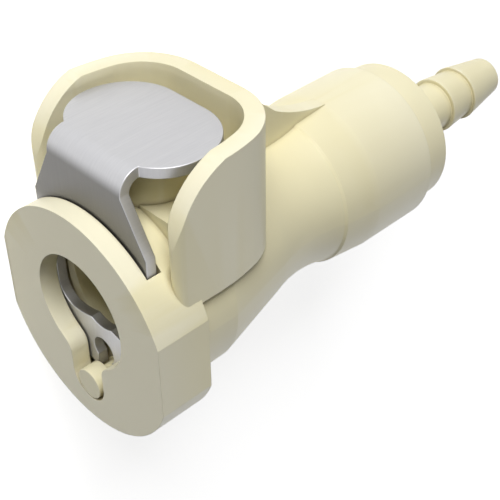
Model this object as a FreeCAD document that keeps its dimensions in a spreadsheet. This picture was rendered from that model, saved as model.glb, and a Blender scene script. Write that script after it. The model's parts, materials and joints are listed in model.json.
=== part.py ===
"""Plastic quick disconnect coupling body with a thumb latch, an in-line valve and a hose barb.

Every piece is drawn in the coupling's own frame: the insert bore runs along Y from its mouth at
y = 0, X points across it and Z points up to the thumb pad.  At the end each piece is laid on the
flange's side flat, so that the finished part lies as it would come to rest.
"""
import FreeCAD
import Part
import Sketcher
import math
import os

V = FreeCAD.Vector

# A coil is drawn as straight runs of a wire with flat sides
RUNS_PER_TURN = 14
WIRE_SIDES = 6

SIZES = {
    # Front flange with its two wrench flats
    "flange_radius": 7.0,
    "flange_length": 3.4,
    "flange_drop": 0.8,
    "flat_depth": 0.4,
    # Keyhole and insert bore
    "bore_radius": 3.5,
    "bore_depth": 11.0,
    "bore_lead_in": 0.25,
    "slot_half_width": 1.35,
    "slot_fillet": 1.0,
    # Channel that the latch plate slides in
    "rim_thickness": 1.15,
    "channel_width": 0.92,
    "channel_floor_wall": 0.7,
    "channel_side_gap": 0.12,
    # Barrel behind the flange
    "shoulder_radius": 6.15,
    "cone_start": 5.93,
    "cone_start_radius": 6.09,
    "waist_start": 10.88,
    "waist_start_radius": 4.85,
    "waist_curve": 8.5,
    "step_place": 15.8,
    "step_inset": 0.4,
    "step_width": 0.17,
    "step_height": 0.13,
    "barrel_start": 18.5,
    "barrel_radius": 5.18,
    "barrel_end": 23.25,
    # Guard round the thumb pad
    "guard_half_width": 6.12,
    "guard_wall": 1.06,
    "guard_front": 2.12,
    "guard_back": 10.55,
    "guard_side_start": 4.6,
    "guard_side_curve": 12.76,
    "guard_corner": 4.0,
    "guard_bottom": 2.35,
    "guard_floor": 6.2,
    "guard_top": 10.2,
    "guard_sweep_height": 4.2,
    "guard_sweep_place": 5.35,
    "guard_sweep_curve": 4.54,
    # Web that braces the guard from behind
    "web_thickness": 1.0,
    "web_top": 9.9,
    "web_bend_place": 14.35,
    "web_bend_height": 6.52,
    "web_curve": 10.2,
    # Latch plate, bend and thumb pad
    "sheet": 0.64,
    "plate_front_gap": 0.1,
    "plate_half_width": 4.6,
    "plate_shoulder": 5.35,
    "plate_edge_gap": 0.1,
    "neck_half_width": 2.95,
    "opening_half_width": 3.6,
    "opening_centre": 2.0,
    "sill_drop": 1.8,
    "sill_corner": 1.3,
    "sill_side_curve": 4.7,
    "sill_middle_curve": 1.825,
    "cusp_drop": 1.57,
    "cusp_offset": 0.85,
    "bend_radius": 1.3,
    "pad_top": 9.6,
    "pad_half_width": 4.6,
    "pad_front_curve": 2.95,
    "pad_back": 8.45,
    "latch_travel": 1.85,
    # Cup that carries the thumb pad, and its spring
    "cup_place": 5.5,
    "cup_radius": 2.6,
    "cup_wall": 0.5,
    "cup_roof": 0.56,
    "cup_gap": 0.05,
    "cup_pocket_floor": 3.9,
    "spring_seat_gap": 0.02,
    "latch_coil_gap": 0.13,
    "latch_wire_radius": 0.22,
    "latch_coil_turns": 5.0,
    # Lock pin below the insert bore
    "pin_edge_distance": 2.45,
    "pin_head_radius": 0.95,
    "pin_head_length": 1.05,
    "pin_foot_gap": 0.05,
    "pin_neck_radius": 0.5,
    "pin_slot_gap": 0.07,
    "pin_shank_radius": 0.7,
    "pin_eye_gap": 0.15,
    "pin_eye_offset": 0.1,
    "pin_guide_gap": 0.03,
    "pin_shoulder_gap": 0.04,
    "pin_length": 4.6,
    "pin_guide_end": 6.8,
    "pin_boss_wall": 0.75,
    "pin_coil_gap": 0.08,
    "pin_wire_radius": 0.1,
    "pin_coil_turns": 5.0,
    # Valve behind the insert bore
    "port_radius": 1.9,
    "seat_place": 12.5,
    "chamber_radius": 3.3,
    "chamber_end": 19.4,
    "poppet_nose_set_back": 0.1,
    "poppet_stem_radius": 1.1,
    "poppet_lip_gap": 0.15,
    "poppet_lip_length": 0.55,
    "poppet_head_gap": 0.7,
    "poppet_head_length": 0.75,
    "poppet_rib_width": 0.9,
    "poppet_rib_end": 15.6,
    "poppet_guide_gap": 0.05,
    "poppet_tail_radius": 1.2,
    "poppet_tail_end": 17.2,
    "valve_ring_section": 0.98,
    "valve_ring_gap": 0.06,
    "valve_ring_lap": 0.05,
    "ring_fit": 0.01,
    "valve_coil_gap": 0.35,
    "valve_wire_radius": 0.2,
    "valve_coil_turns": 4.0,
    # Hose barb fitting in the back of the barrel
    "socket_radius": 3.95,
    "spigot_gap": 0.03,
    "spigot_end_gap": 0.1,
    "barb_bore_radius": 0.8,
    "cap_radius": 4.68,
    "cap_end": 25.4,
    "stem_radius": 1.6,
    "ridge_one_place": 29.9,
    "ridge_one_radius": 1.885,
    "ridge_waist_radius": 1.64,
    "ridge_two_place": 32.13,
    "ridge_two_radius": 1.88,
    "tip_radius": 1.32,
    "tip_place": 35.5,
    "socket_ring_place": 21.35,
    "socket_ring_section": 0.96,
    "socket_ring_groove": 1.1,
}


class Size:
    """A length that carries its number and the spreadsheet expression that gives it."""

    def __init__(self, text, value):
        self.text = text
        self.value = value

    def combine(self, other, sign, value):
        return Size("(%s %s %s)" % (self.text, sign, as_size(other).text), value)

    def __add__(self, other):
        return self.combine(other, "+", self.value + as_size(other).value)

    def __sub__(self, other):
        return self.combine(other, "-", self.value - as_size(other).value)

    def __mul__(self, other):
        return self.combine(other, "*", self.value * as_size(other).value)

    def __truediv__(self, other):
        return self.combine(other, "/", self.value / as_size(other).value)

    def __neg__(self):
        return Size("(0 - %s)" % self.text, -self.value)

    def squared(self):
        return self * self

    def root(self):
        return Size("sqrt(%s)" % self.text, math.sqrt(self.value))


def as_size(number):
    """Give a plain number the same form as a spreadsheet size."""
    return number if isinstance(number, Size) else Size(repr(float(number)), float(number))


class Sheet:
    """The document's spreadsheet, with each of its sizes as an attribute."""

    def __init__(self, doc, sizes):
        self.table = doc.addObject("Spreadsheet::Sheet", "Dimensions")
        for row, (name, number) in enumerate(sizes.items(), start=1):
            self.table.set("A%d" % row, name)
            self.table.set("B%d" % row, repr(number))
            self.table.setAlias("B%d" % row, name)
            setattr(self, name, Size("Dimensions." + name, number))
        doc.recompute()


def add_body(doc, name):
    """Start one sub-part."""
    body = doc.addObject("PartDesign::Body", name)
    body.Label = name
    return body


def add_sketch(body, name, plane, offset=0.0):
    """Put an empty sketch on one of the body's own planes, moved along the plane's normal."""
    sketch = body.newObject("Sketcher::SketchObject", name)
    origin = [f for f in body.Origin.OriginFeatures if f.Role == plane][0]
    sketch.AttachmentSupport = [(origin, "")]
    sketch.MapMode = "FlatFace"
    place = as_size(offset)
    sketch.AttachmentOffset = FreeCAD.Placement(V(0, 0, place.value), FreeCAD.Rotation())
    if isinstance(offset, Size):
        sketch.setExpression("AttachmentOffset.Base.z", place.text)
    return sketch


def tie(sketch, size, *constraint):
    """Add one dimension to a sketch and tie it to its size."""
    number = sketch.addConstraint(Sketcher.Constraint(*constraint, size.value))
    if "Dimensions" in size.text:
        sketch.setExpression("Constraints[%d]" % number, size.text)


def pin_vertex(sketch, geometry, vertex, point):
    """Fix a vertex by its two signed distances from the sketch's origin."""
    tie(sketch, as_size(point[0]), "DistanceX", -1, 1, geometry, vertex)
    tie(sketch, as_size(point[1]), "DistanceY", -1, 1, geometry, vertex)


def minor_arc(start, end, radius, turn):
    """Arc from start to end; turn is +1 for counter-clockwise and -1 for clockwise."""
    a = V(as_size(start[0]).value, as_size(start[1]).value, 0)
    b = V(as_size(end[0]).value, as_size(end[1]).value, 0)
    chord = b - a
    rise = math.sqrt(max(radius.value ** 2 - (chord.Length / 2) ** 2, 0.0))
    centre = (a + b) / 2 + V(-chord.y, chord.x, 0).normalize() * rise * turn
    first, last = (a, b) if turn > 0 else (b, a)
    angles = [math.atan2(p.y - centre.y, p.x - centre.x) for p in (first, last)]
    return Part.ArcOfCircle(Part.Circle(centre, V(0, 0, 1), radius.value), *angles)


def add_outline(sketch, *steps):
    """Close an outline: each step is a point, or (point, radius, turn) to reach it by an arc.

    The first step is reached from the last one.
    """
    ends = [step[0] if len(step) == 3 else step for step in steps]
    curves = []
    for number, step in enumerate(steps):
        start = ends[number - 1]
        if len(step) == 3:
            radius = as_size(step[1])
            index = sketch.addGeometry(minor_arc(start, ends[number], radius, step[2]), False)
            curves.append((index, 1, 2) if step[2] > 0 else (index, 2, 1))
        else:
            points = [V(as_size(p[0]).value, as_size(p[1]).value, 0) for p in (start, step)]
            index = sketch.addGeometry(Part.LineSegment(*points), False)
            curves.append((index, 1, 2))
    for number, (index, first, last) in enumerate(curves):
        before = curves[number - 1]
        sketch.addConstraint(Sketcher.Constraint("Coincident", before[0], before[2], index, first))
        pin_vertex(sketch, index, last, ends[number])
        if len(steps[number]) == 3:
            tie(sketch, as_size(steps[number][1]), "Radius", index)


def add_circle(sketch, centre, radius):
    """Add a circle whose centre and radius are tied to sizes."""
    middle = V(as_size(centre[0]).value, as_size(centre[1]).value, 0)
    circle = Part.Circle(middle, V(0, 0, 1), as_size(radius).value)
    index = sketch.addGeometry(circle, False)
    pin_vertex(sketch, index, 3, centre)
    tie(sketch, as_size(radius), "Radius", index)


def add_feature(body, kind, name, sketch, length=None, both_ways=False, reverse=False):
    """Pad or pocket a sketch by a length."""
    feature = body.newObject("PartDesign::" + kind, name)
    feature.Profile = sketch
    feature.Reversed = reverse
    if both_ways:
        feature.SideType = "Symmetric"
    feature.Length = as_size(length).value
    if isinstance(length, Size):
        feature.setExpression("Length", length.text)
    sketch.Visibility = False
    return feature


def turn_profile(body, kind, name, *steps):
    """Turn a half profile, given as (radius, place) points, round the bore's axis."""
    sketch = add_sketch(body, name + "Profile", "XY_Plane")
    add_outline(sketch, *steps)
    feature = body.newObject("PartDesign::" + kind, name)
    feature.Profile = sketch
    feature.ReferenceAxis = (sketch, ["V_Axis"])
    feature.Angle = 360.0
    return feature


def pin_drop(s):
    """Depth of the lock pin's axis below the bore's axis."""
    return s.flange_radius + s.flange_drop - s.pin_edge_distance


def flange_outline(sketch, s):
    """Round flange with a flat on each side."""
    side = s.flange_radius - s.flat_depth
    rise = (s.flange_radius.squared() - side.squared()).root()
    top = rise - s.flange_drop
    bottom = -(rise + s.flange_drop)
    add_outline(sketch,
                ((side, bottom), s.flange_radius, 1),
                (side, top),
                ((-side, top), s.flange_radius, 1),
                (-side, bottom))


def guard_back_curves(s, inset):
    """Flat, joint, corner and side curve of the guard's back, at a depth inside its outer face."""
    far = s.guard_back - s.guard_corner
    reach = s.guard_side_curve - s.guard_corner
    rise = far - s.guard_side_start
    run = (reach.squared() - rise.squared()).root()
    flat = s.guard_half_width - s.guard_side_curve + run
    corner = s.guard_corner - inset
    joint = (flat + corner * run / reach, far + corner * rise / reach)
    return flat, joint, corner, s.guard_side_curve - inset


def guard_outline(sketch, s):
    """U-shaped wall that is open to the front, with rounded ends and back corners."""
    out = s.guard_half_width
    inner = out - s.guard_wall
    front = s.guard_front
    start = s.guard_side_start
    back = s.guard_back
    nose = s.guard_wall / 2
    nose_end = front + nose
    middle = out - nose
    flat, joint, corner, side = guard_back_curves(s, 0.0)
    flat, inner_joint, inner_corner, inner_side = guard_back_curves(s, s.guard_wall)
    add_outline(sketch,
                (inner, nose_end),
                ((middle, front), nose, 1),
                ((out, nose_end), nose, 1),
                (out, start),
                (joint, side, 1),
                ((flat, back), corner, 1),
                (-flat, back),
                ((-joint[0], joint[1]), corner, 1),
                ((-out, start), side, 1),
                (-out, nose_end),
                ((-middle, front), nose, 1),
                ((-inner, nose_end), nose, 1),
                (-inner, start),
                ((-inner_joint[0], inner_joint[1]), inner_side, -1),
                ((-flat, back - s.guard_wall), inner_corner, -1),
                (flat, back - s.guard_wall),
                (inner_joint, inner_corner, -1),
                ((inner, start), inner_side, -1))


def foot_outline(sketch, s):
    """Footprint of the solid floor between the guard's walls."""
    inset = s.guard_wall / 2
    out = s.guard_half_width - inset
    back = s.guard_back - inset
    flat, joint, corner, side = guard_back_curves(s, inset)
    add_outline(sketch,
                (out, s.flange_length),
                (out, s.guard_side_start),
                (joint, side, 1),
                ((flat, back), corner, 1),
                (-flat, back),
                ((-joint[0], joint[1]), corner, 1),
                ((-out, s.guard_side_start), side, 1),
                (-out, s.flange_length))


def build_guard(body, s):
    """Guard wall with its floor and its swept front, and the web behind it."""
    foot = add_sketch(body, "GuardFootOutline", "XY_Plane", s.guard_bottom)
    foot_outline(foot, s)
    add_feature(body, "Pad", "GuardFoot", foot, s.guard_floor - s.guard_bottom)
    wall = add_sketch(body, "GuardOutline", "XY_Plane", s.guard_bottom)
    guard_outline(wall, s)
    add_feature(body, "Pad", "Guard", wall, s.guard_top - s.guard_bottom)
    over = 0.2
    front = s.guard_front - over
    above = s.guard_top + over
    low = s.guard_top - s.guard_sweep_height
    start = s.guard_sweep_place
    sweep = add_sketch(body, "GuardSweepOutline", "YZ_Plane")
    add_outline(sweep,
                (front, low),
                (s.guard_front, low),
                ((start, s.guard_top), s.guard_sweep_curve, -1),
                (start, above),
                (front, above))
    add_feature(body, "Pocket", "GuardSweep", sweep, s.guard_half_width * 3, both_ways=True)
    inside = s.guard_back - s.guard_wall / 2
    foot = s.chamber_radius + s.web_thickness / 2
    web = add_sketch(body, "WebOutline", "YZ_Plane")
    add_outline(web,
                (inside, foot),
                (s.barrel_start, foot),
                (s.barrel_start, s.barrel_radius),
                ((s.web_bend_place, s.web_bend_height), s.web_curve, -1),
                (s.guard_back, s.web_top),
                (inside, s.web_top))
    add_feature(body, "Pad", "Web", web, s.web_thickness, both_ways=True)


def build_barrel(body, s):
    """Tapered shoulder, waist and barrel behind the flange."""
    step_back = s.step_place + s.step_width
    step_radius = s.barrel_radius - s.step_inset
    turn_profile(body, "Revolution", "Barrel",
                 (0, s.rim_thickness),
                 (s.shoulder_radius, s.rim_thickness),
                 (s.cone_start_radius, s.cone_start),
                 (s.waist_start_radius, s.waist_start),
                 ((step_radius, s.step_place), s.waist_curve, -1),
                 (step_radius + s.step_height, step_back),
                 (s.barrel_radius, s.barrel_start),
                 (s.barrel_radius, s.barrel_end),
                 (0, s.barrel_end))


def channel_outline(sketch, s):
    """Opening of the latch channel: straight sides and a floor that follows the flange."""
    side = s.plate_half_width + s.channel_side_gap
    curve = s.flange_radius - s.channel_floor_wall
    low = -((curve.squared() - side.squared()).root() + s.flange_drop)
    high = s.flange_radius
    add_outline(sketch,
                (side, high),
                (-side, high),
                (-side, low),
                ((side, low), curve, 1))


def keyhole_outline(sketch, s):
    """Slot below the bore, flared into it on both sides and round at its foot."""
    reach = s.bore_radius + s.slot_fillet
    out = s.slot_half_width + s.slot_fillet
    drop = (reach.squared() - out.squared()).root()
    share = s.bore_radius / reach
    side = s.slot_half_width
    foot = pin_drop(s) + s.pin_head_radius + s.pin_foot_gap - side
    add_outline(sketch,
                ((out * share, -(drop * share)), s.slot_fillet, -1),
                (-(out * share), -(drop * share)),
                ((-side, -drop), s.slot_fillet, -1),
                (-side, -foot),
                ((0, -(foot + side)), side, 1),
                ((side, -foot), side, 1),
                (side, -drop))


def build_coupling_body(doc, s):
    """Moulded body: flange, keyhole, latch channel, guard, web, barrel and its bores."""
    body = add_body(doc, "coupling_body")
    disc = add_sketch(body, "FlangeOutline", "XZ_Plane")
    flange_outline(disc, s)
    add_feature(body, "Pad", "Flange", disc, s.flange_length, reverse=True)
    build_barrel(body, s)
    boss = add_sketch(body, "PinBossOutline", "XZ_Plane")
    guide_radius = s.pin_shank_radius + s.pin_guide_gap
    add_circle(boss, (0, -pin_drop(s)), guide_radius + s.pin_boss_wall)
    add_feature(body, "Pad", "PinBoss", boss, s.pin_guide_end + s.pin_boss_wall, reverse=True)
    build_guard(body, s)
    channel = add_sketch(body, "ChannelOutline", "XZ_Plane", -s.rim_thickness)
    channel_outline(channel, s)
    add_feature(body, "Pocket", "Channel", channel, s.channel_width)
    behind = s.rim_thickness + s.channel_width
    turn_profile(body, "Groove", "Bores",
                 (0, -1),
                 (s.bore_radius, -1),
                 (s.bore_radius, s.rim_thickness),
                 (s.bore_radius + s.bore_lead_in, behind),
                 (s.bore_radius, behind + s.bore_lead_in),
                 (s.bore_radius, s.bore_depth),
                 (s.port_radius, s.bore_depth),
                 (s.port_radius, s.seat_place),
                 (s.chamber_radius, s.seat_place),
                 (s.chamber_radius, s.chamber_end),
                 (s.socket_radius, s.chamber_end),
                 (s.socket_radius, s.barrel_end + 1),
                 (0, s.barrel_end + 1))
    keyhole = add_sketch(body, "KeyholeOutline", "XZ_Plane")
    keyhole_outline(keyhole, s)
    add_feature(body, "Pocket", "Keyhole", keyhole, s.rim_thickness)
    guide = add_sketch(body, "PinGuideOutline", "XZ_Plane", -s.rim_thickness)
    add_circle(guide, (0, -pin_drop(s)), guide_radius)
    add_feature(body, "Pocket", "PinGuide", guide, s.pin_guide_end - s.rim_thickness)
    pocket = add_sketch(body, "CupPocketOutline", "XY_Plane", s.cup_pocket_floor)
    add_circle(pocket, (0, s.cup_place), s.cup_radius + s.cup_gap)
    add_feature(body, "Pocket", "CupPocket", pocket, s.flange_radius, reverse=True)
    return body


def plate_outline(sketch, s):
    """Latch plate: shoulders above, a narrow fork with a wider eye for the lock pin below."""
    side = s.plate_half_width
    curve = s.flange_radius - s.channel_floor_wall - s.plate_edge_gap
    middle = s.latch_travel - s.flange_drop
    fork = s.pin_neck_radius + s.pin_slot_gap
    eye = s.pin_shank_radius + s.pin_eye_gap
    eye_drop = pin_drop(s) - s.latch_travel + s.pin_eye_offset
    eye_foot = -(eye_drop + (eye.squared() - fork.squared()).root())
    foot = middle - (curve.squared() - fork.squared()).root()
    heel = middle - (curve.squared() - side.squared()).root()
    top = s.pad_top - s.bend_radius
    add_outline(sketch,
                (s.neck_half_width, top),
                (-s.neck_half_width, top),
                (-side, s.plate_shoulder),
                (-side, heel),
                ((-fork, foot), curve, 1),
                (-fork, eye_foot),
                ((0, eye - eye_drop), eye, -1),
                ((fork, eye_foot), eye, -1),
                (fork, foot),
                ((side, heel), curve, 1),
                (side, s.plate_shoulder))


def opening_outline(sketch, s):
    """Window that the insert passes: round above, with a sill of three shallow curves below."""
    half = s.opening_half_width
    turn = half - s.sill_corner
    corner = s.sill_corner - s.sill_drop
    cusp = s.cusp_offset
    add_outline(sketch,
                (half, s.opening_centre),
                ((0, s.opening_centre + half), half, 1),
                ((-half, s.opening_centre), half, 1),
                (-half, corner),
                ((-turn, -s.sill_drop), s.sill_corner, 1),
                ((-cusp, -s.cusp_drop), s.sill_side_curve, 1),
                ((cusp, -s.cusp_drop), s.sill_middle_curve, 1),
                ((turn, -s.sill_drop), s.sill_side_curve, 1),
                ((half, corner), s.sill_corner, 1))


def pad_outline(sketch, s, front):
    """Thumb pad: its sides swing out from the neck and run on into round back corners."""
    side = s.pad_half_width
    curve = s.pad_front_curve
    neck_offset = s.neck_half_width - side + curve
    widest = front + (curve.squared() - neck_offset.squared()).root()
    corner = s.pad_back - widest
    add_outline(sketch,
                (s.neck_half_width, front),
                ((side, widest), curve, 1),
                ((side - corner, s.pad_back), corner, 1),
                (corner - side, s.pad_back),
                ((-side, widest), corner, 1),
                ((-s.neck_half_width, front), curve, 1))


def build_thumb_latch(doc, s):
    """Bent sheet metal latch: plate, bend and thumb pad."""
    body = add_body(doc, "thumb_latch")
    front = s.rim_thickness + s.plate_front_gap
    plate = add_sketch(body, "PlateOutline", "XZ_Plane", -front)
    plate_outline(plate, s)
    opening_outline(plate, s)
    add_feature(body, "Pad", "Plate", plate, s.sheet, reverse=True)
    low = s.pad_top - s.bend_radius
    bend_end = front + s.bend_radius
    bend = add_sketch(body, "BendOutline", "YZ_Plane")
    add_outline(bend,
                (front, low),
                ((bend_end, s.pad_top), s.bend_radius, -1),
                (bend_end, s.pad_top - s.sheet),
                ((front + s.sheet, low), s.bend_radius - s.sheet, 1))
    add_feature(body, "Pad", "Bend", bend, s.neck_half_width * 2, both_ways=True)
    pad = add_sketch(body, "PadOutline", "XY_Plane", s.pad_top - s.sheet)
    pad_outline(pad, s, bend_end)
    add_feature(body, "Pad", "ThumbPad", pad, s.sheet)
    return body


def build_spring_cup(doc, s):
    """Plunger under the thumb pad, hollow from below for the spring."""
    body = add_body(doc, "spring_cup")
    bottom = s.cup_pocket_floor + s.latch_travel + s.cup_gap
    top = s.pad_top - s.sheet
    outside = add_sketch(body, "CupOutline", "XY_Plane", bottom)
    add_circle(outside, (0, s.cup_place), s.cup_radius)
    add_feature(body, "Pad", "Cup", outside, top - bottom)
    inside = add_sketch(body, "CupHollowOutline", "XY_Plane", bottom)
    add_circle(inside, (0, s.cup_place), s.cup_radius - s.cup_wall)
    add_feature(body, "Pocket", "CupHollow", inside, top - bottom - s.cup_roof, reverse=True)
    return body


def coil_path(coil_radius, rise, turns, start):
    """Centre line of a coil, as short straight runs that climb evenly round Z."""
    runs = max(3, round(turns * RUNS_PER_TURN))
    points = []
    for number in range(runs + 1):
        angle = 2 * math.pi * turns * number / runs
        height = start + rise * number / runs
        points.append(V(coil_radius * math.cos(angle), coil_radius * math.sin(angle), height))
    return points


def wire_section(centre, direction, radius):
    """Closed polygon across the start of a wire."""
    turn = FreeCAD.Rotation(V(0, 0, 1), direction)
    corners = []
    for number in range(WIRE_SIDES + 1):
        angle = 2 * math.pi * (number % WIRE_SIDES) / WIRE_SIDES
        corners.append(centre + turn.multVec(V(math.cos(angle), math.sin(angle), 0) * radius))
    return Part.makePolygon(corners)


def build_spring(doc, name, axis_point, axis, length, seat_gap, coil_radius, wire_radius, turns):
    """Coil spring that stands a small gap clear of both of its seats."""
    spring = doc.addObject("Part::Feature", name)
    spring.Label = name
    start = wire_radius.value + seat_gap.value
    rise = length.value - 2 * start
    path = coil_path(coil_radius.value, rise, turns.value, start)
    section = wire_section(path[0], path[1] - path[0], wire_radius.value)
    coil = Part.makePolygon(path).makePipeShell([section], True, False, 1)
    turned = FreeCAD.Placement(axis_point, FreeCAD.Rotation(V(0, 0, 1), axis))
    coil.transformShape(turned.toMatrix(), True)
    spring.Shape = coil
    return spring


def build_lock_pin(doc, s):
    """Pin with a head in the keyhole, a neck in the latch's fork and a shank in the boss."""
    body = add_body(doc, "lock_pin")
    plate_back = s.rim_thickness + s.plate_front_gap + s.sheet
    shoulder = plate_back + s.pin_shoulder_gap
    head = add_sketch(body, "HeadOutline", "XZ_Plane")
    add_circle(head, (0, -pin_drop(s)), s.pin_head_radius)
    add_feature(body, "Pad", "Head", head, s.pin_head_length, reverse=True)
    neck = add_sketch(body, "NeckOutline", "XZ_Plane")
    add_circle(neck, (0, -pin_drop(s)), s.pin_neck_radius)
    add_feature(body, "Pad", "Neck", neck, s.pin_length, reverse=True)
    shank = add_sketch(body, "ShankOutline", "XZ_Plane", -shoulder)
    add_circle(shank, (0, -pin_drop(s)), s.pin_shank_radius)
    add_feature(body, "Pad", "Shank", shank, s.pin_length - shoulder, reverse=True)
    return body


def build_valve_poppet(doc, s):
    """Poppet with a ring groove, a head and four guide ribs."""
    body = add_body(doc, "valve_poppet")
    groove_front = s.seat_place + s.valve_ring_gap - s.ring_fit
    groove_back = groove_front + s.valve_ring_section + s.ring_fit * 2
    nose = s.bore_depth + s.poppet_nose_set_back
    lip_front = groove_front - s.poppet_lip_length
    lip = s.port_radius - s.poppet_lip_gap
    head = s.chamber_radius - s.poppet_head_gap
    ring_middle = s.port_radius + s.valve_ring_lap
    root = ring_middle - s.valve_ring_section / 2 - s.ring_fit
    head_back = groove_back + s.poppet_head_length
    turn_profile(body, "Revolution", "Poppet",
                 (0, nose),
                 (s.poppet_stem_radius, nose),
                 (s.poppet_stem_radius, lip_front),
                 (lip, lip_front),
                 (lip, groove_front),
                 (root, groove_front),
                 (root, groove_back),
                 (head, groove_back),
                 (head, head_back),
                 (s.poppet_tail_radius, head_back),
                 (s.poppet_tail_radius, s.poppet_tail_end),
                 (0, s.poppet_tail_end))
    reach = s.chamber_radius - s.poppet_guide_gap
    half = s.poppet_rib_width / 2
    rib_front = groove_back + s.poppet_head_length / 2
    corner = (reach.squared() - half.squared()).root()
    rib = add_sketch(body, "RibOutline", "XZ_Plane", -rib_front)
    add_outline(rib,
                (half, 0),
                (half, corner),
                ((-half, corner), reach, 1),
                (-half, 0))
    pad = add_feature(body, "Pad", "Rib", rib, s.poppet_rib_end - rib_front, reverse=True)
    pattern = body.newObject("PartDesign::PolarPattern", "Ribs")
    pattern.Originals = [pad]
    pattern.Axis = (rib, ["N_Axis"])
    pattern.Angle = 360.0
    pattern.Occurrences = 4
    body.Tip = pattern
    ring_place = (groove_front + groove_back) / 2
    return body, ring_middle, ring_place


def build_ring(doc, name, middle_radius, section, place):
    """Square-cut rubber ring on the bore's axis."""
    body = add_body(doc, name)
    half = section / 2
    turn_profile(body, "Revolution", "Ring",
                 (middle_radius - half, place - half),
                 (middle_radius + half, place - half),
                 (middle_radius + half, place + half),
                 (middle_radius - half, place + half))
    return body


def build_hose_barb(doc, s):
    """Back fitting: spigot with a ring groove, cap, stem and two hose ridges."""
    body = add_body(doc, "hose_barb")
    spigot = s.socket_radius - s.spigot_gap
    front = s.chamber_end + s.spigot_end_gap
    ring_middle = s.socket_radius - s.ring_fit - s.socket_ring_section / 2
    root = ring_middle - s.socket_ring_section / 2 - s.ring_fit
    groove_front = s.socket_ring_place - s.socket_ring_groove / 2
    groove_back = s.socket_ring_place + s.socket_ring_groove / 2
    turn_profile(body, "Revolution", "Fitting",
                 (s.barb_bore_radius, front),
                 (spigot, front),
                 (spigot, groove_front),
                 (root, groove_front),
                 (root, groove_back),
                 (spigot, groove_back),
                 (spigot, s.barrel_end),
                 (s.cap_radius, s.barrel_end),
                 (s.cap_radius, s.cap_end),
                 (s.stem_radius, s.cap_end),
                 (s.stem_radius, s.ridge_one_place),
                 (s.ridge_one_radius, s.ridge_one_place),
                 (s.ridge_waist_radius, s.ridge_two_place),
                 (s.ridge_two_radius, s.ridge_two_place),
                 (s.tip_radius, s.tip_place),
                 (s.barb_bore_radius, s.tip_place))
    return body, ring_middle


def build_springs(doc, s):
    """The three coil springs: under the thumb pad, behind the lock pin and behind the poppet."""
    cup_roof = s.pad_top - s.sheet - s.cup_roof
    latch_radius = s.cup_radius - s.cup_wall - s.latch_coil_gap - s.latch_wire_radius
    latch = build_spring(doc, "latch_spring",
                         V(0, s.cup_place.value, s.cup_pocket_floor.value), V(0, 0, 1),
                         cup_roof - s.cup_pocket_floor, s.spring_seat_gap,
                         latch_radius, s.latch_wire_radius, s.latch_coil_turns)
    pin_radius = s.pin_shank_radius + s.pin_guide_gap - s.pin_coil_gap - s.pin_wire_radius
    pin = build_spring(doc, "lock_pin_spring",
                       V(0, s.pin_length.value, -pin_drop(s).value), V(0, 1, 0),
                       s.pin_guide_end - s.pin_length, s.spring_seat_gap,
                       pin_radius, s.pin_wire_radius, s.pin_coil_turns)
    valve_radius = s.poppet_tail_radius + s.valve_coil_gap + s.valve_wire_radius
    valve = build_spring(doc, "valve_spring",
                         V(0, s.poppet_rib_end.value, 0), V(0, 1, 0),
                         s.chamber_end + s.spigot_end_gap - s.poppet_rib_end, s.spring_seat_gap,
                         valve_radius, s.valve_wire_radius, s.valve_coil_turns)
    return [latch, pin, valve]


def check_document(doc, parts):
    """Stop if any object failed or any sub-part is not a valid solid."""
    for item in doc.Objects:
        if "Invalid" in item.State or "Error" in item.State:
            raise RuntimeError("%s is in a failed state" % item.Name)
    for part in parts:
        if part.Shape.isNull() or not part.Shape.isValid() or part.Shape.Volume <= 0:
            raise RuntimeError("%s has no valid solid" % part.Label)


def main():
    """Build every piece, lay the part on its side flat and write the pieces."""
    doc = FreeCAD.newDocument("QuickDisconnectCoupling")
    s = Sheet(doc, SIZES)
    parts = [build_coupling_body(doc, s), build_thumb_latch(doc, s), build_spring_cup(doc, s)]
    parts.append(build_lock_pin(doc, s))
    poppet, ring_middle, ring_place = build_valve_poppet(doc, s)
    parts.append(poppet)
    parts.append(build_ring(doc, "valve_seal_ring", ring_middle, s.valve_ring_section, ring_place))
    barb, socket_ring_middle = build_hose_barb(doc, s)
    parts.append(barb)
    parts.append(build_ring(doc, "barb_seal_ring", socket_ring_middle, s.socket_ring_section,
                            s.socket_ring_place))
    parts.extend(build_springs(doc, s))
    resting = FreeCAD.Placement(V(0, 0, 0), FreeCAD.Rotation(V(0, 1, 0), -90))
    for part in parts:
        part.Placement = resting
    doc.recompute()
    check_document(doc, parts)
    os.makedirs("parts", exist_ok=True)
    for part in parts:
        part.Shape.exportStep(os.path.join("parts", part.Label + ".step"))
        print("%s: %d solid(s), %.3f mm3" % (part.Label, len(part.Shape.Solids), part.Shape.Volume))


main()
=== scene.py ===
"""Looks for an ivory acetal quick disconnect coupling with a stainless thumb latch.

Lengths are in metres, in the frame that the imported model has: +Y runs back along the insert
bore, -X points to the thumb pad and +Z is up from the surface that the coupling lies on.
"""
from __future__ import annotations

import json
import logging
import math
from dataclasses import dataclass, field
from enum import Enum
from typing import Any

import bpy
from mathutils import Matrix, Vector

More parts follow.
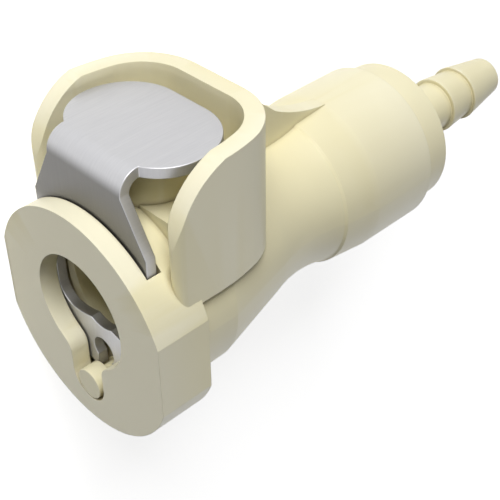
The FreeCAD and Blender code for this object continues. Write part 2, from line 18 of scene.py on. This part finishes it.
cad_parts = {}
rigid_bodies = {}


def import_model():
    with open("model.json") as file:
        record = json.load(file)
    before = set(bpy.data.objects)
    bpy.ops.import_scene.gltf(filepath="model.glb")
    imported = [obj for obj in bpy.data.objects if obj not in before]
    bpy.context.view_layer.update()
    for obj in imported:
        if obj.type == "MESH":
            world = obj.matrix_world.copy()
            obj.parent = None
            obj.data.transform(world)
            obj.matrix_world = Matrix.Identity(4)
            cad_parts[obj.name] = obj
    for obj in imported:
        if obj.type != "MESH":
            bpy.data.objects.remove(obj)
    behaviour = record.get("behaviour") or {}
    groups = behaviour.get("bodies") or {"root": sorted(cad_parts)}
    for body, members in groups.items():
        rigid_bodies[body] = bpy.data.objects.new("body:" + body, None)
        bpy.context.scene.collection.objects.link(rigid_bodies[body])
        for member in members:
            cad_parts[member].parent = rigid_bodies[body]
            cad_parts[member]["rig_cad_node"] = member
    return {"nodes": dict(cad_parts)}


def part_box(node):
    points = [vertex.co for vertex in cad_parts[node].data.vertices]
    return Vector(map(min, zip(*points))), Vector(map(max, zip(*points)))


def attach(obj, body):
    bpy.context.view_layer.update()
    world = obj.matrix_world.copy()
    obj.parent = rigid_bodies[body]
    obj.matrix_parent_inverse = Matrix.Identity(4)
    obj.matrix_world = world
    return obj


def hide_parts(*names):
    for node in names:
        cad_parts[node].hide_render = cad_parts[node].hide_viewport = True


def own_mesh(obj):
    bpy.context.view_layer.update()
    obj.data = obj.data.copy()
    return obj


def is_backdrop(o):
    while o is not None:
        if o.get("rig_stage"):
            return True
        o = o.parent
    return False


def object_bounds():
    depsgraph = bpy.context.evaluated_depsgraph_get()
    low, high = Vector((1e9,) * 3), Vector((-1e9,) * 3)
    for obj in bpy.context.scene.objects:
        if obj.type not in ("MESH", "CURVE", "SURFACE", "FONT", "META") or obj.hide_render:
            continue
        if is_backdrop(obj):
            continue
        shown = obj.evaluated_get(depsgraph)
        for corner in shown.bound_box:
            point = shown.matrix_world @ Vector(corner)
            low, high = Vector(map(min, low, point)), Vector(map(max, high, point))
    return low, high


log = logging.getLogger("coupling")

Tree = bpy.types.NodeTree
Socket = bpy.types.NodeSocket
Span = tuple[float, float]
Triple = tuple[float, float, float]
Colour = tuple[float, float, float, float]

MM = 0.001
WHITE = "#FFFFFF"

# The sRGB curve is straight up to its knee and a power of the value above it
SRGB_KNEE = 0.04045
SRGB_SLOPE = 12.92
SRGB_OFFSET = 0.055
SRGB_POWER = 2.4

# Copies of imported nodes: how close points are merged, how flat faces are joined, which edges are
# rounded, and in how many steps
MERGE_MM = 0.001
FLAT_DEG = 0.5
SHARP_DEG = 32.0
ROUNDING_STEPS = 2

# Finer layers of a noise pattern, and rays of the shader nodes that look at edges and corners
SOFT_DETAIL = 2.0
FINE_DETAIL = 3.0
EDGE_SAMPLES = 6
CORNER_SAMPLES = 8


class Part(Enum):
    """Names of the coupling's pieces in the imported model."""

    BODY = "coupling_body"
    LATCH = "thumb_latch"
    CUP = "spring_cup"
    PIN = "lock_pin"
    BARB = "hose_barb"
    POPPET = "valve_poppet"
    POPPET_RING = "valve_seal_ring"
    BARB_RING = "barb_seal_ring"
    LATCH_SPRING = "latch_spring"
    PIN_SPRING = "lock_pin_spring"
    VALVE_SPRING = "valve_spring"


class Smoothing(Enum):
    """Edges of a copy below this angle, in degrees, are shaded smooth."""

    ROUNDED = 30.0
    COIL = 60.0


class Blend(Enum):
    """How a ramp runs between its two ends."""

    STRAIGHT = "LINEAR"
    SOFT = "SMOOTHSTEP"


class Operation(Enum):
    """What a calculation does with its values."""

    SIZE = "ABSOLUTE"
    LARGER = "MAXIMUM"
    PRODUCT = "MULTIPLY"


def linear(code: str) -> Colour:
    """Turn an sRGB hex colour into the linear colour that the shaders take.

    Args:
        code: colour as six hex digits after a hash sign.

    Returns:
        Linear red, green and blue, with an alpha of 1.
    """
    parts = [int(code[place:place + 2], 16) / 255 for place in (1, 3, 5)]
    red, green, blue = [
        part / SRGB_SLOPE if part <= SRGB_KNEE
        else ((part + SRGB_OFFSET) / (1 + SRGB_OFFSET)) ** SRGB_POWER
        for part in parts
    ]
    return red, green, blue, 1.0


def add_node(tree: Tree, kind: str, settings: dict[str, Any] | None = None,
             inputs: dict[str | int, Any] | None = None) -> bpy.types.Node:
    """Add one shader node.

    Args:
        tree: node tree that takes the node.
        kind: Blender's name of the node type.
        settings: properties of the node.
        inputs: a plain value for a socket, or an output to link it to, by name or number.

    Returns:
        The new node.
    """
    node = tree.nodes.new(kind)
    for name, value in (settings or {}).items():
        setattr(node, name, value)
    for name, value in (inputs or {}).items():
        socket = node.inputs[name]
        if isinstance(value, Socket):
            tree.links.new(value, socket)
        else:
            socket.default_value = value
    return node


def add_noise(tree: Tree, place: Socket, size_mm: float, detail: float) -> Socket:
    """Add a noise pattern.

    Args:
        tree: node tree that takes the node.
        place: point to look the pattern up at.
        size_mm: size of the pattern's largest spots.
        detail: finer layers on top of them.

    Returns:
        Output that wanders between 0 and 1.
    """
    noise = add_node(tree, "ShaderNodeTexNoise", inputs={
        "Vector": place, "Scale": 1 / (size_mm * MM), "Detail": detail})
    return noise.outputs["Fac"]


def add_ramp(tree: Tree, value: Socket, span: Span = (0.0, 1.0),
             result: Span = (0.0, 1.0), blend: Blend = Blend.STRAIGHT) -> Socket:
    """Map one range of values onto another, which is held beyond both ends.

    Args:
        tree: node tree that takes the node.
        value: output to map.
        span: two values of that output.
        result: what those two values become.
        blend: how the result runs between them.

    Returns:
        Output of the mapped value.
    """
    ramp = add_node(tree, "ShaderNodeMapRange", {"interpolation_type": blend.value}, {
        "Value": value, "From Min": span[0], "From Max": span[1],
        "To Min": result[0], "To Max": result[1]})
    return ramp.outputs["Result"]


def calculate(tree: Tree, operation: Operation, *values: Socket) -> Socket:
    """Add one calculation.

    Args:
        tree: node tree that takes the node.
        operation: what to do with the values.
        values: outputs to work on.

    Returns:
        Output of the result.
    """
    sums = add_node(tree, "ShaderNodeMath", {"operation": operation.value},
                    dict(enumerate(values)))
    return sums.outputs[0]


def mix_colours(tree: Tree, share: Socket, colour: Socket | Colour,
                other: Socket | Colour) -> Socket:
    """Mix two colours.

    Args:
        tree: node tree that takes the node.
        share: how much there is of the other colour, from 0 to 1.
        colour: colour where the share is 0.
        other: colour where the share is 1.

    Returns:
        Output of the mixed colour.
    """
    mix = add_node(tree, "ShaderNodeMix", {"data_type": "RGBA"}, {
        "Factor": share, "A": colour, "B": other})
    return mix.outputs["Result"]


def add_relief(tree: Tree, height: Socket, strength: float, depth_mm: float,
               edge_mm: float) -> Socket:
    """Round the edges in the shading, and lay a fine relief over all faces.

    Args:
        tree: node tree that takes the nodes.
        height: height of the relief, from 0 to 1.
        strength: how much of the relief shows.
        depth_mm: depth of the relief.
        edge_mm: radius of the rounded edges.

    Returns:
        Output of the surface's normal.
    """
    edges = add_node(tree, "ShaderNodeBevel", {"samples": EDGE_SAMPLES}, {
        "Radius": edge_mm * MM})
    relief = add_node(tree, "ShaderNodeBump", inputs={
        "Height": height, "Strength": strength, "Distance": depth_mm * MM,
        "Normal": edges.outputs["Normal"]})
    return relief.outputs["Normal"]


def new_material(name: str) -> tuple[bpy.types.Material, Tree]:
    """Make an empty node material.

    Args:
        name: name of the material.

    Returns:
        The material and its cleared node tree.
    """
    material = bpy.data.materials.new(name)
    material.use_nodes = True
    material.node_tree.nodes.clear()
    return material, material.node_tree


def add_surface(tree: Tree, inputs: dict[str | int, Any]) -> None:
    """Add a material's surface shader and its output.

    Args:
        tree: node tree of the material.
        inputs: plain values and outputs for the surface shader's sockets, by name.
    """
    surface = add_node(tree, "ShaderNodeBsdfPrincipled", inputs=inputs)
    add_node(tree, "ShaderNodeOutputMaterial", inputs={"Surface": surface.outputs["BSDF"]})


@dataclass(frozen=True)
class MouldedAcetal:
    """Ivory acetal copolymer as it leaves the mould: dense, a little waxy, with a soft sheen."""

    name: str = "ivory_acetal_moulded"
    colour: str = "#F7F0CB"
    shade: str = "#F0E7BE"
    rubbed: str = "#FCF7DE"
    painted_shade: str = "#A3946A"
    refraction: float = 1.48
    roughness: Span = (0.31, 0.43)
    cloud_mm: float = 5.0
    grain_mm: float = 0.3
    grain_strength: float = 0.1
    grain_depth_mm: float = 0.015
    edge_mm: float = 0.05
    edge_pointiness: Span = (0.52, 0.62)
    most_rubbed: float = 0.7
    corner_mm: float = 0.45
    corner_openness: Span = (0.3, 0.85)
    most_painted_shade: float = 0.75

    def mix_colour(self, tree: Tree, place: Socket) -> Socket:
        """Mix the colour that drifts, is paler on the edges and has painted shade in the corners.

        Args:
            tree: node tree of the material.
            place: point on the piece.

        Returns:
            Output of the colour.
        """
        # The melt cools unevenly, so its tone drifts over some millimetres.
        cloud = add_noise(tree, place, self.cloud_mm, SOFT_DETAIL)
        tone = mix_colours(tree, cloud, linear(self.colour), linear(self.shade))
        # Handling rubs the outer edges a little paler than the faces beside them.
        shape = add_node(tree, "ShaderNodeNewGeometry")
        edge = add_ramp(tree, shape.outputs["Pointiness"], self.edge_pointiness,
                        (0.0, self.most_rubbed))
        worn = mix_colours(tree, edge, tone, linear(self.rubbed))
        # Painted shade: the colour darkens in inner corners and seams, by ambient occlusion.
        corner = add_node(tree, "ShaderNodeAmbientOcclusion", {"samples": CORNER_SAMPLES}, {
            "Distance": self.corner_mm * MM})
        painted_shade_share = add_ramp(tree, corner.outputs["AO"], self.corner_openness,
                            (self.most_painted_shade, 0.0))
        return mix_colours(tree, painted_shade_share, worn, linear(self.painted_shade))

    def make(self) -> bpy.types.Material:
        """Build the material.

        Returns:
            Acetal with slow changes of tone and a fine spark-eroded mould texture.
        """
        material, tree = new_material(self.name)
        place = add_node(tree, "ShaderNodeTexCoord").outputs["Object"]
        # Mould grain of about a tenth of a millimetre, drawn three times as coarse so that it shows.
        grain = add_noise(tree, place, self.grain_mm, FINE_DETAIL)
        add_surface(tree, {
            "Base Color": self.mix_colour(tree, place),
            "Roughness": add_ramp(tree, grain, result=self.roughness),
            "IOR": self.refraction,
            "Normal": add_relief(tree, grain, self.grain_strength, self.grain_depth_mm,
                                 self.edge_mm)})
        return material


@dataclass(frozen=True)
class RolledStainless:
    """Stainless spring sheet, cold rolled: fine lines along the rolling direction.

    The neck between the bend and the window gets painted shade: a darker grey on its faces.
    The pad, the bend, the plate round the window and the cut edges keep the plain grey.
    """

    name: str = "stainless_sheet_rolled"
    colour: str = "#C5C5C7"
    line_colour: str = "#B9B9BC"
    painted_neck_shade: str = "#7A7978"
    roughness: Span = (0.41, 0.52)
    line_mm: float = 0.07
    line_stretch: Triple = (0.04, 0.04, 1.0)
    line_strength: float = 0.05
    line_depth_mm: float = 0.006
    edge_mm: float = 0.05
    shade_start_mm: float = 0.5
    shade_full_mm: float = 1.3
    shade_fade_start_mm: float = 4.2
    shade_fade_end_mm: float = 5.6
    cut_edge_turn: Span = (0.5, 0.8)

    def find_shaded_neck(self, tree: Tree, coords: bpy.types.Node, top: float) -> Socket:
        """Find the neck's faces, which get painted shade.

        Args:
            tree: node tree of the material.
            coords: texture coordinate node.
            top: height of the thumb pad's face along X.

        Returns:
            Output that is 1 on the neck's faces, and 0 on its cut edges and beyond the neck.
        """
        split = add_node(tree, "ShaderNodeSeparateXYZ", inputs={"Vector": coords.outputs["Object"]})
        depth = split.outputs["X"]
        bend_end = (top + self.shade_start_mm * MM, top + self.shade_full_mm * MM)
        below_bend = add_ramp(tree, depth, bend_end, blend=Blend.SOFT)
        window_edge = (top + self.shade_fade_start_mm * MM, top + self.shade_fade_end_mm * MM)
        above_window = add_ramp(tree, depth, window_edge, (1.0, 0.0), Blend.SOFT)
        facing = add_node(tree, "ShaderNodeSeparateXYZ", inputs={"Vector": coords.outputs["Normal"]})
        sideways = calculate(tree, Operation.SIZE, facing.outputs["Z"])
        sheet_face = add_ramp(tree, sideways, self.cut_edge_turn, (1.0, 0.0))
        shaded_neck = calculate(tree, Operation.PRODUCT, below_bend, above_window)
        return calculate(tree, Operation.PRODUCT, shaded_neck, sheet_face)

    def make(self, top: float) -> bpy.types.Material:
        """Build the material.

        Args:
            top: height of the thumb pad's face along X, which the painted shade is measured from.

        Returns:
            Grey metal with rolling lines that run along the latch, and painted shade on its neck.
        """
        material, tree = new_material(self.name)
        coords = add_node(tree, "ShaderNodeTexCoord")
        stretched = add_node(tree, "ShaderNodeMapping", inputs={
            "Vector": coords.outputs["Object"], "Scale": self.line_stretch})
        # Rolling lines lie some hundredths of a millimetre apart, drawn coarser so that they show.
        lines = add_noise(tree, stretched.outputs["Vector"], self.line_mm, FINE_DETAIL)
        tone = mix_colours(tree, lines, linear(self.colour), linear(self.line_colour))
        # Painted shade: the neck's faces get a darker grey than the rest of the latch.
        shaded_neck = self.find_shaded_neck(tree, coords, top)
        add_surface(tree, {
            "Base Color": mix_colours(tree, shaded_neck, tone, linear(self.painted_neck_shade)),
            "Metallic": 1.0,
            "Roughness": add_ramp(tree, lines, result=self.roughness),
            "Normal": add_relief(tree, lines, self.line_strength, self.line_depth_mm,
                                 self.edge_mm)})
        return material


@dataclass(frozen=True)
class DrawnWire:
    """Hard drawn stainless spring wire: darker than sheet, with a dull die-drawn skin."""

    name: str = "stainless_wire_drawn"
    colour: str = "#A9A9AC"
    roughness: Span = (0.32, 0.46)
    fleck_mm: float = 0.15

    def make(self) -> bpy.types.Material:
        """Build the material.

        Returns:
            Grey metal with slight changes of gloss.
        """
        material, tree = new_material(self.name)
        place = add_node(tree, "ShaderNodeTexCoord").outputs["Object"]
        fleck = add_noise(tree, place, self.fleck_mm, SOFT_DETAIL)
        add_surface(tree, {
            "Base Color": linear(self.colour),
            "Metallic": 1.0,
            "Roughness": add_ramp(tree, fleck, result=self.roughness)})
        return material


@dataclass(frozen=True)
class SealRubber:
    """Black nitrile rubber, moulded: matt, a little dusty with mould release."""

    name: str = "nitrile_rubber_moulded"
    colour: str = "#1B1B1C"
    dust: str = "#2B2A29"
    roughness: float = 0.62
    dust_mm: float = 0.6

    def make(self) -> bpy.types.Material:
        """Build the material.

        Returns:
            Near black rubber with faint paler patches.
        """
        material, tree = new_material(self.name)
        place = add_node(tree, "ShaderNodeTexCoord").outputs["Object"]
        patch = add_noise(tree, place, self.dust_mm, FINE_DETAIL)
        add_surface(tree, {
            "Base Color": mix_colours(tree, patch, linear(self.colour), linear(self.dust)),
            "Roughness": self.roughness})
        return material


def dress(target: bpy.types.Object, material: bpy.types.Material) -> None:
    """Give a piece its material in every slot.

    Args:
        target: piece to dress.
        material: finish of the piece.
    """
    if not target.material_slots:
        target.data.materials.append(material)
    for place in target.material_slots:
        place.material = material


def copy_node(source: bpy.types.Object, suffix: str, smoothing: Smoothing) -> bpy.types.Object:
    """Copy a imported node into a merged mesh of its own.

    Args:
        source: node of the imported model.
        suffix: last word of the copy's name.
        smoothing: angle below which the copy's edges are shaded smooth.

    Returns:
        The copy, selected and active, in the node's place.
    """
    bpy.ops.object.select_all(action="DESELECT")
    piece = source.copy()
    piece.data = source.data.copy()
    piece.name = f"{source.name}_{suffix}"
    del piece["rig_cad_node"]
    bpy.context.scene.collection.objects.link(piece)
    piece.select_set(True)
    bpy.context.view_layer.objects.active = piece
    bpy.ops.mesh.customdata_custom_splitnormals_clear()
    bpy.ops.object.mode_set(mode="EDIT")
    bpy.ops.mesh.select_all(action="SELECT")
    bpy.ops.mesh.remove_doubles(threshold=MERGE_MM * MM)
    bpy.ops.mesh.dissolve_limited(angle_limit=math.radians(FLAT_DEG))
    bpy.ops.object.mode_set(mode="OBJECT")
    bpy.ops.object.shade_smooth_by_angle(angle=math.radians(smoothing.value))
    return piece


def stand_in(piece: bpy.types.Object, source: bpy.types.Object, body: str) -> None:
    """Let a copy stand for its node.

    Args:
        piece: copy of the node.
        source: node that the copy hides.
        body: body that the copy moves with.
    """
    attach(piece, body)
    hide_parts(source.name)


def round_edges(source: bpy.types.Object, body: str,
                radius_mm: float) -> bpy.types.Object:
    """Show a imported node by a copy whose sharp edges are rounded.

    Args:
        source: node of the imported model.
        body: body that the copy moves with.
        radius_mm: radius of the rounded edges.

    Returns:
        The copy, with every sharp edge rounded.
    """
    piece = copy_node(source, "rounded", Smoothing.ROUNDED)
    rounding = piece.modifiers.new("rounding", "BEVEL")
    rounding.width = radius_mm * MM
    rounding.segments = ROUNDING_STEPS
    rounding.limit_method = "ANGLE"
    rounding.angle_limit = math.radians(SHARP_DEG)
    rounding.harden_normals = True
    bpy.ops.object.modifier_apply(modifier=rounding.name)
    stand_in(piece, source, body)
    return piece


@dataclass
class Moulding:
    """The ivory mouldings: body, plunger under the pad, lock pin, poppet and back fitting."""

    nodes: dict[str, bpy.types.Object]
    finish: MouldedAcetal = field(default_factory=MouldedAcetal)
    slot: str = "ivory_acetal"
    cup_edge_mm: float = 0.08
    pin_edge_mm: float = 0.04
    barb_edge_mm: float = 0.05

    def build(self) -> list[bpy.types.Object]:
        """Round the small mouldings' edges, and dress all the mouldings.

        Returns:
            The dressed pieces.
        """
        material = self.finish.make()
        pieces = [self.nodes[Part.BODY.value], self.nodes[Part.POPPET.value]]
        for part, body, edge_mm in ((Part.CUP, "latch", self.cup_edge_mm),
                                    (Part.PIN, "pin", self.pin_edge_mm),
                                    (Part.BARB, "housing", self.barb_edge_mm)):
            pieces.append(round_edges(self.nodes[part.value], body, edge_mm))
        for piece in pieces:
            dress(piece, material)
        return pieces


@dataclass
class SheetLatch:
    """The bent stainless latch."""

    nodes: dict[str, bpy.types.Object]
    finish: RolledStainless = field(default_factory=RolledStainless)
    slot: str = "stainless_sheet"
    edge_mm: float = 0.05

    def build(self) -> list[bpy.types.Object]:
        """Round the sheet's edges as tumbling leaves them, and dress the latch.

        Returns:
            The latch in a list of its own.
        """
        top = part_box(Part.LATCH.value)[0][0]
        piece = round_edges(self.nodes[Part.LATCH.value], "latch", self.edge_mm)
        dress(piece, self.finish.make(top))
        return [piece]


@dataclass(frozen=True)
class CoilSpring:
    """A coil spring that stands on the body, and the joint that presses it."""

    part: Part
    joint: str
    axis: Triple
    travel_mm: float
    slack_mm: float = 0.03
    slot: str = "spring_wire"

    def build(self, source: bpy.types.Object) -> bpy.types.Object:
        """Copy the spring and let the copy stand for its node.

        Args:
            source: the spring's node.

        Returns:
            The copy.
        """
        piece = copy_node(source, "coil", Smoothing.COIL)
        stand_in(piece, source, "housing")
        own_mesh(piece)
        return piece


@dataclass
class Innards:
    """Springs and seals inside the body."""

    nodes: dict[str, bpy.types.Object]
    wire: DrawnWire = field(default_factory=DrawnWire)
    rubber: SealRubber = field(default_factory=SealRubber)
    coils: tuple[CoilSpring, ...] = (
        CoilSpring(Part.LATCH_SPRING, "latch_press", axis=(1.0, 0.0, 0.0), travel_mm=1.85),
        CoilSpring(Part.PIN_SPRING, "pin_push", axis=(0.0, 1.0, 0.0), travel_mm=0.15),
        CoilSpring(Part.VALVE_SPRING, "valve_push", axis=(0.0, 1.0, 0.0), travel_mm=1.5),
    )

    def build(self) -> list[bpy.types.Object]:
        """Copy the springs, and dress the springs and the seals.

        Returns:
            The dressed pieces.
        """
        wire = self.wire.make()
        rubber = self.rubber.make()
        springs = [coil.build(self.nodes[coil.part.value]) for coil in self.coils]
        rings = [self.nodes[part.value] for part in (Part.POPPET_RING, Part.BARB_RING)]
        for piece in springs:
            dress(piece, wire)
        for piece in rings:
            dress(piece, rubber)
        return springs + rings


def seen_rays(tree: Tree) -> Socket:
    """Tell the rays that show the background from those that light the object.

    Args:
        tree: node tree that takes the nodes.

    Returns:
        Output that is 1 for camera, glossy and transmission rays, and 0 for the others.
    """
    rays = add_node(tree, "ShaderNodeLightPath").outputs
    direct = calculate(tree, Operation.LARGER, rays["Is Camera Ray"], rays["Is Glossy Ray"])
    return calculate(tree, Operation.LARGER, direct, rays["Is Transmission Ray"])


@dataclass(frozen=True)
class Lamp:
    """A square soft lamp: its place seen from the coupling's middle, its side and its power."""

    name: str
    direction: Triple
    distance: float
    side: float
    watts: float

    def hang(self, middle: Vector) -> None:
        """Hang the lamp so that it faces the coupling.

        Args:
            middle: middle of the coupling.
        """
        away = Vector(self.direction).normalized()
        data = bpy.data.lights.new(self.name, "AREA")
        data.shape = "SQUARE"
        data.size = self.side
        data.energy = self.watts
        lamp = bpy.data.objects.new(self.name, data)
        lamp.location = middle + away * self.distance
        lamp.rotation_euler = away.to_track_quat("Z", "Y").to_euler()
        bpy.context.scene.collection.objects.link(lamp)


@dataclass(frozen=True)
class FloorPaper:
    """Plain pale paper that turns fully white away from the coupling, so that no horizon shows."""

    name: str = "floor_paper"
    colour: str = "#F7F7F7"
    glow: float = 0.77
    near: float = 0.035
    far: float = 0.10

    def make(self) -> bpy.types.Material:
        """Build the material.

        Returns:
            Paper whose glow is seen but gives the coupling no light.
        """
        material, tree = new_material(self.name)
        place = add_node(tree, "ShaderNodeTexCoord").outputs["Object"]
        distance = add_node(tree, "ShaderNodeVectorMath", {"operation": "LENGTH"}, {0: place})
        white_out = add_ramp(tree, distance.outputs["Value"], (self.near, self.far),
                             (self.glow, 1.0), Blend.SOFT)
        strength = calculate(tree, Operation.PRODUCT, seen_rays(tree), white_out)
        paper = add_node(tree, "ShaderNodeBsdfDiffuse", inputs={"Color": linear(self.colour)})
        glow = add_node(tree, "ShaderNodeEmission", inputs={
            "Color": linear(WHITE), "Strength": strength})
        both = add_node(tree, "ShaderNodeAddShader", inputs={
            0: paper.outputs[0], 1: glow.outputs[0]})
        add_node(tree, "ShaderNodeOutputMaterial", inputs={"Surface": both.outputs[0]})
        return material


@dataclass
class Studio:
    """Floor, lamps, world and camera round the coupling."""

    low: Vector
    high: Vector
    lamps: tuple[Lamp, ...] = (
        Lamp("key", direction=(-0.91, -0.25, 0.34), distance=0.30, side=0.16, watts=0.80),
        Lamp("fill", direction=(0.84, 0.40, 0.37), distance=0.30, side=0.25, watts=0.17),
    )
    paper: FloorPaper = field(default_factory=FloorPaper)
    floor_half: float = 0.6
    floor_gap_mm: float = 0.01
    camera_place: Triple = (-0.0401861, -0.0247630, 0.0393807)
    camera_right: Triple = (0.0126716, 0.7179553, 0.6959738)
    camera_up: Triple = (-0.7840402, 0.4391113, -0.4387052)
    camera_back: Triple = (-0.6205807, -0.5401124, 0.5684701)
    camera_lens: float = 81.835
    camera_nearest: float = 0.002
    camera_farthest: float = 10.0
    world_strength: float = 0.04

    def add_floor(self, middle: Vector) -> None:
        """Lay the paper just under the coupling.

        Args:
            middle: middle of the coupling.
        """
        bpy.ops.object.select_all(action="DESELECT")
        height = self.low.z - self.floor_gap_mm * MM
        bpy.ops.mesh.primitive_plane_add(size=2 * self.floor_half,
                                         location=(middle.x, middle.y, height))
        floor = bpy.context.object
        floor.name = "studio_floor"
        dress(floor, self.paper.make())
        floor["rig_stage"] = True

    def add_world(self) -> None:
        """Light everything evenly from all round, and show white behind."""
        world = bpy.data.worlds.new("studio_world")
        world.use_nodes = True
        tree = world.node_tree
        tree.nodes.clear()
        dim = add_node(tree, "ShaderNodeBackground", inputs={
            "Color": linear(WHITE), "Strength": self.world_strength})
        white = add_node(tree, "ShaderNodeBackground", inputs={
            "Color": linear(WHITE), "Strength": 1.0})
        both = add_node(tree, "ShaderNodeMixShader", inputs={
            0: seen_rays(tree), 1: dim.outputs[0], 2: white.outputs[0]})
        add_node(tree, "ShaderNodeOutputWorld", inputs={"Surface": both.outputs[0]})
        bpy.context.scene.world = world

    def add_camera(self) -> None:
        """Set the camera where the photograph was taken from."""
        data = bpy.data.cameras.new("photo_camera")
        data.lens = self.camera_lens
        data.clip_start = self.camera_nearest
        data.clip_end = self.camera_farthest
        camera = bpy.data.objects.new("photo_camera", data)
        axes = Matrix((self.camera_right, self.camera_up, self.camera_back)).transposed()
        camera.matrix_world = Matrix.Translation(self.camera_place) @ axes.to_4x4()
        bpy.context.scene.collection.objects.link(camera)
        bpy.context.scene.camera = camera

    def build(self) -> None:
        """Set up the whole studio."""
        middle = (self.low + self.high) / 2
        self.add_floor(middle)
        for lamp in self.lamps:
            lamp.hang(middle)
        self.add_world()
        self.add_camera()
        bpy.context.scene.view_settings.view_transform = "Standard"


def main() -> None:
    """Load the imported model, dress it and set up the studio."""
    logging.basicConfig(level=logging.INFO, format="%(name)s: %(message)s")
    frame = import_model()
    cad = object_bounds()
    nodes = frame["nodes"]
    for group in (Moulding(nodes), SheetLatch(nodes), Innards(nodes)):
        for piece in group.build():
            log.info("dressed %s", piece.name)
    Studio(*cad).build()


if __name__ == "__main__":
    main()
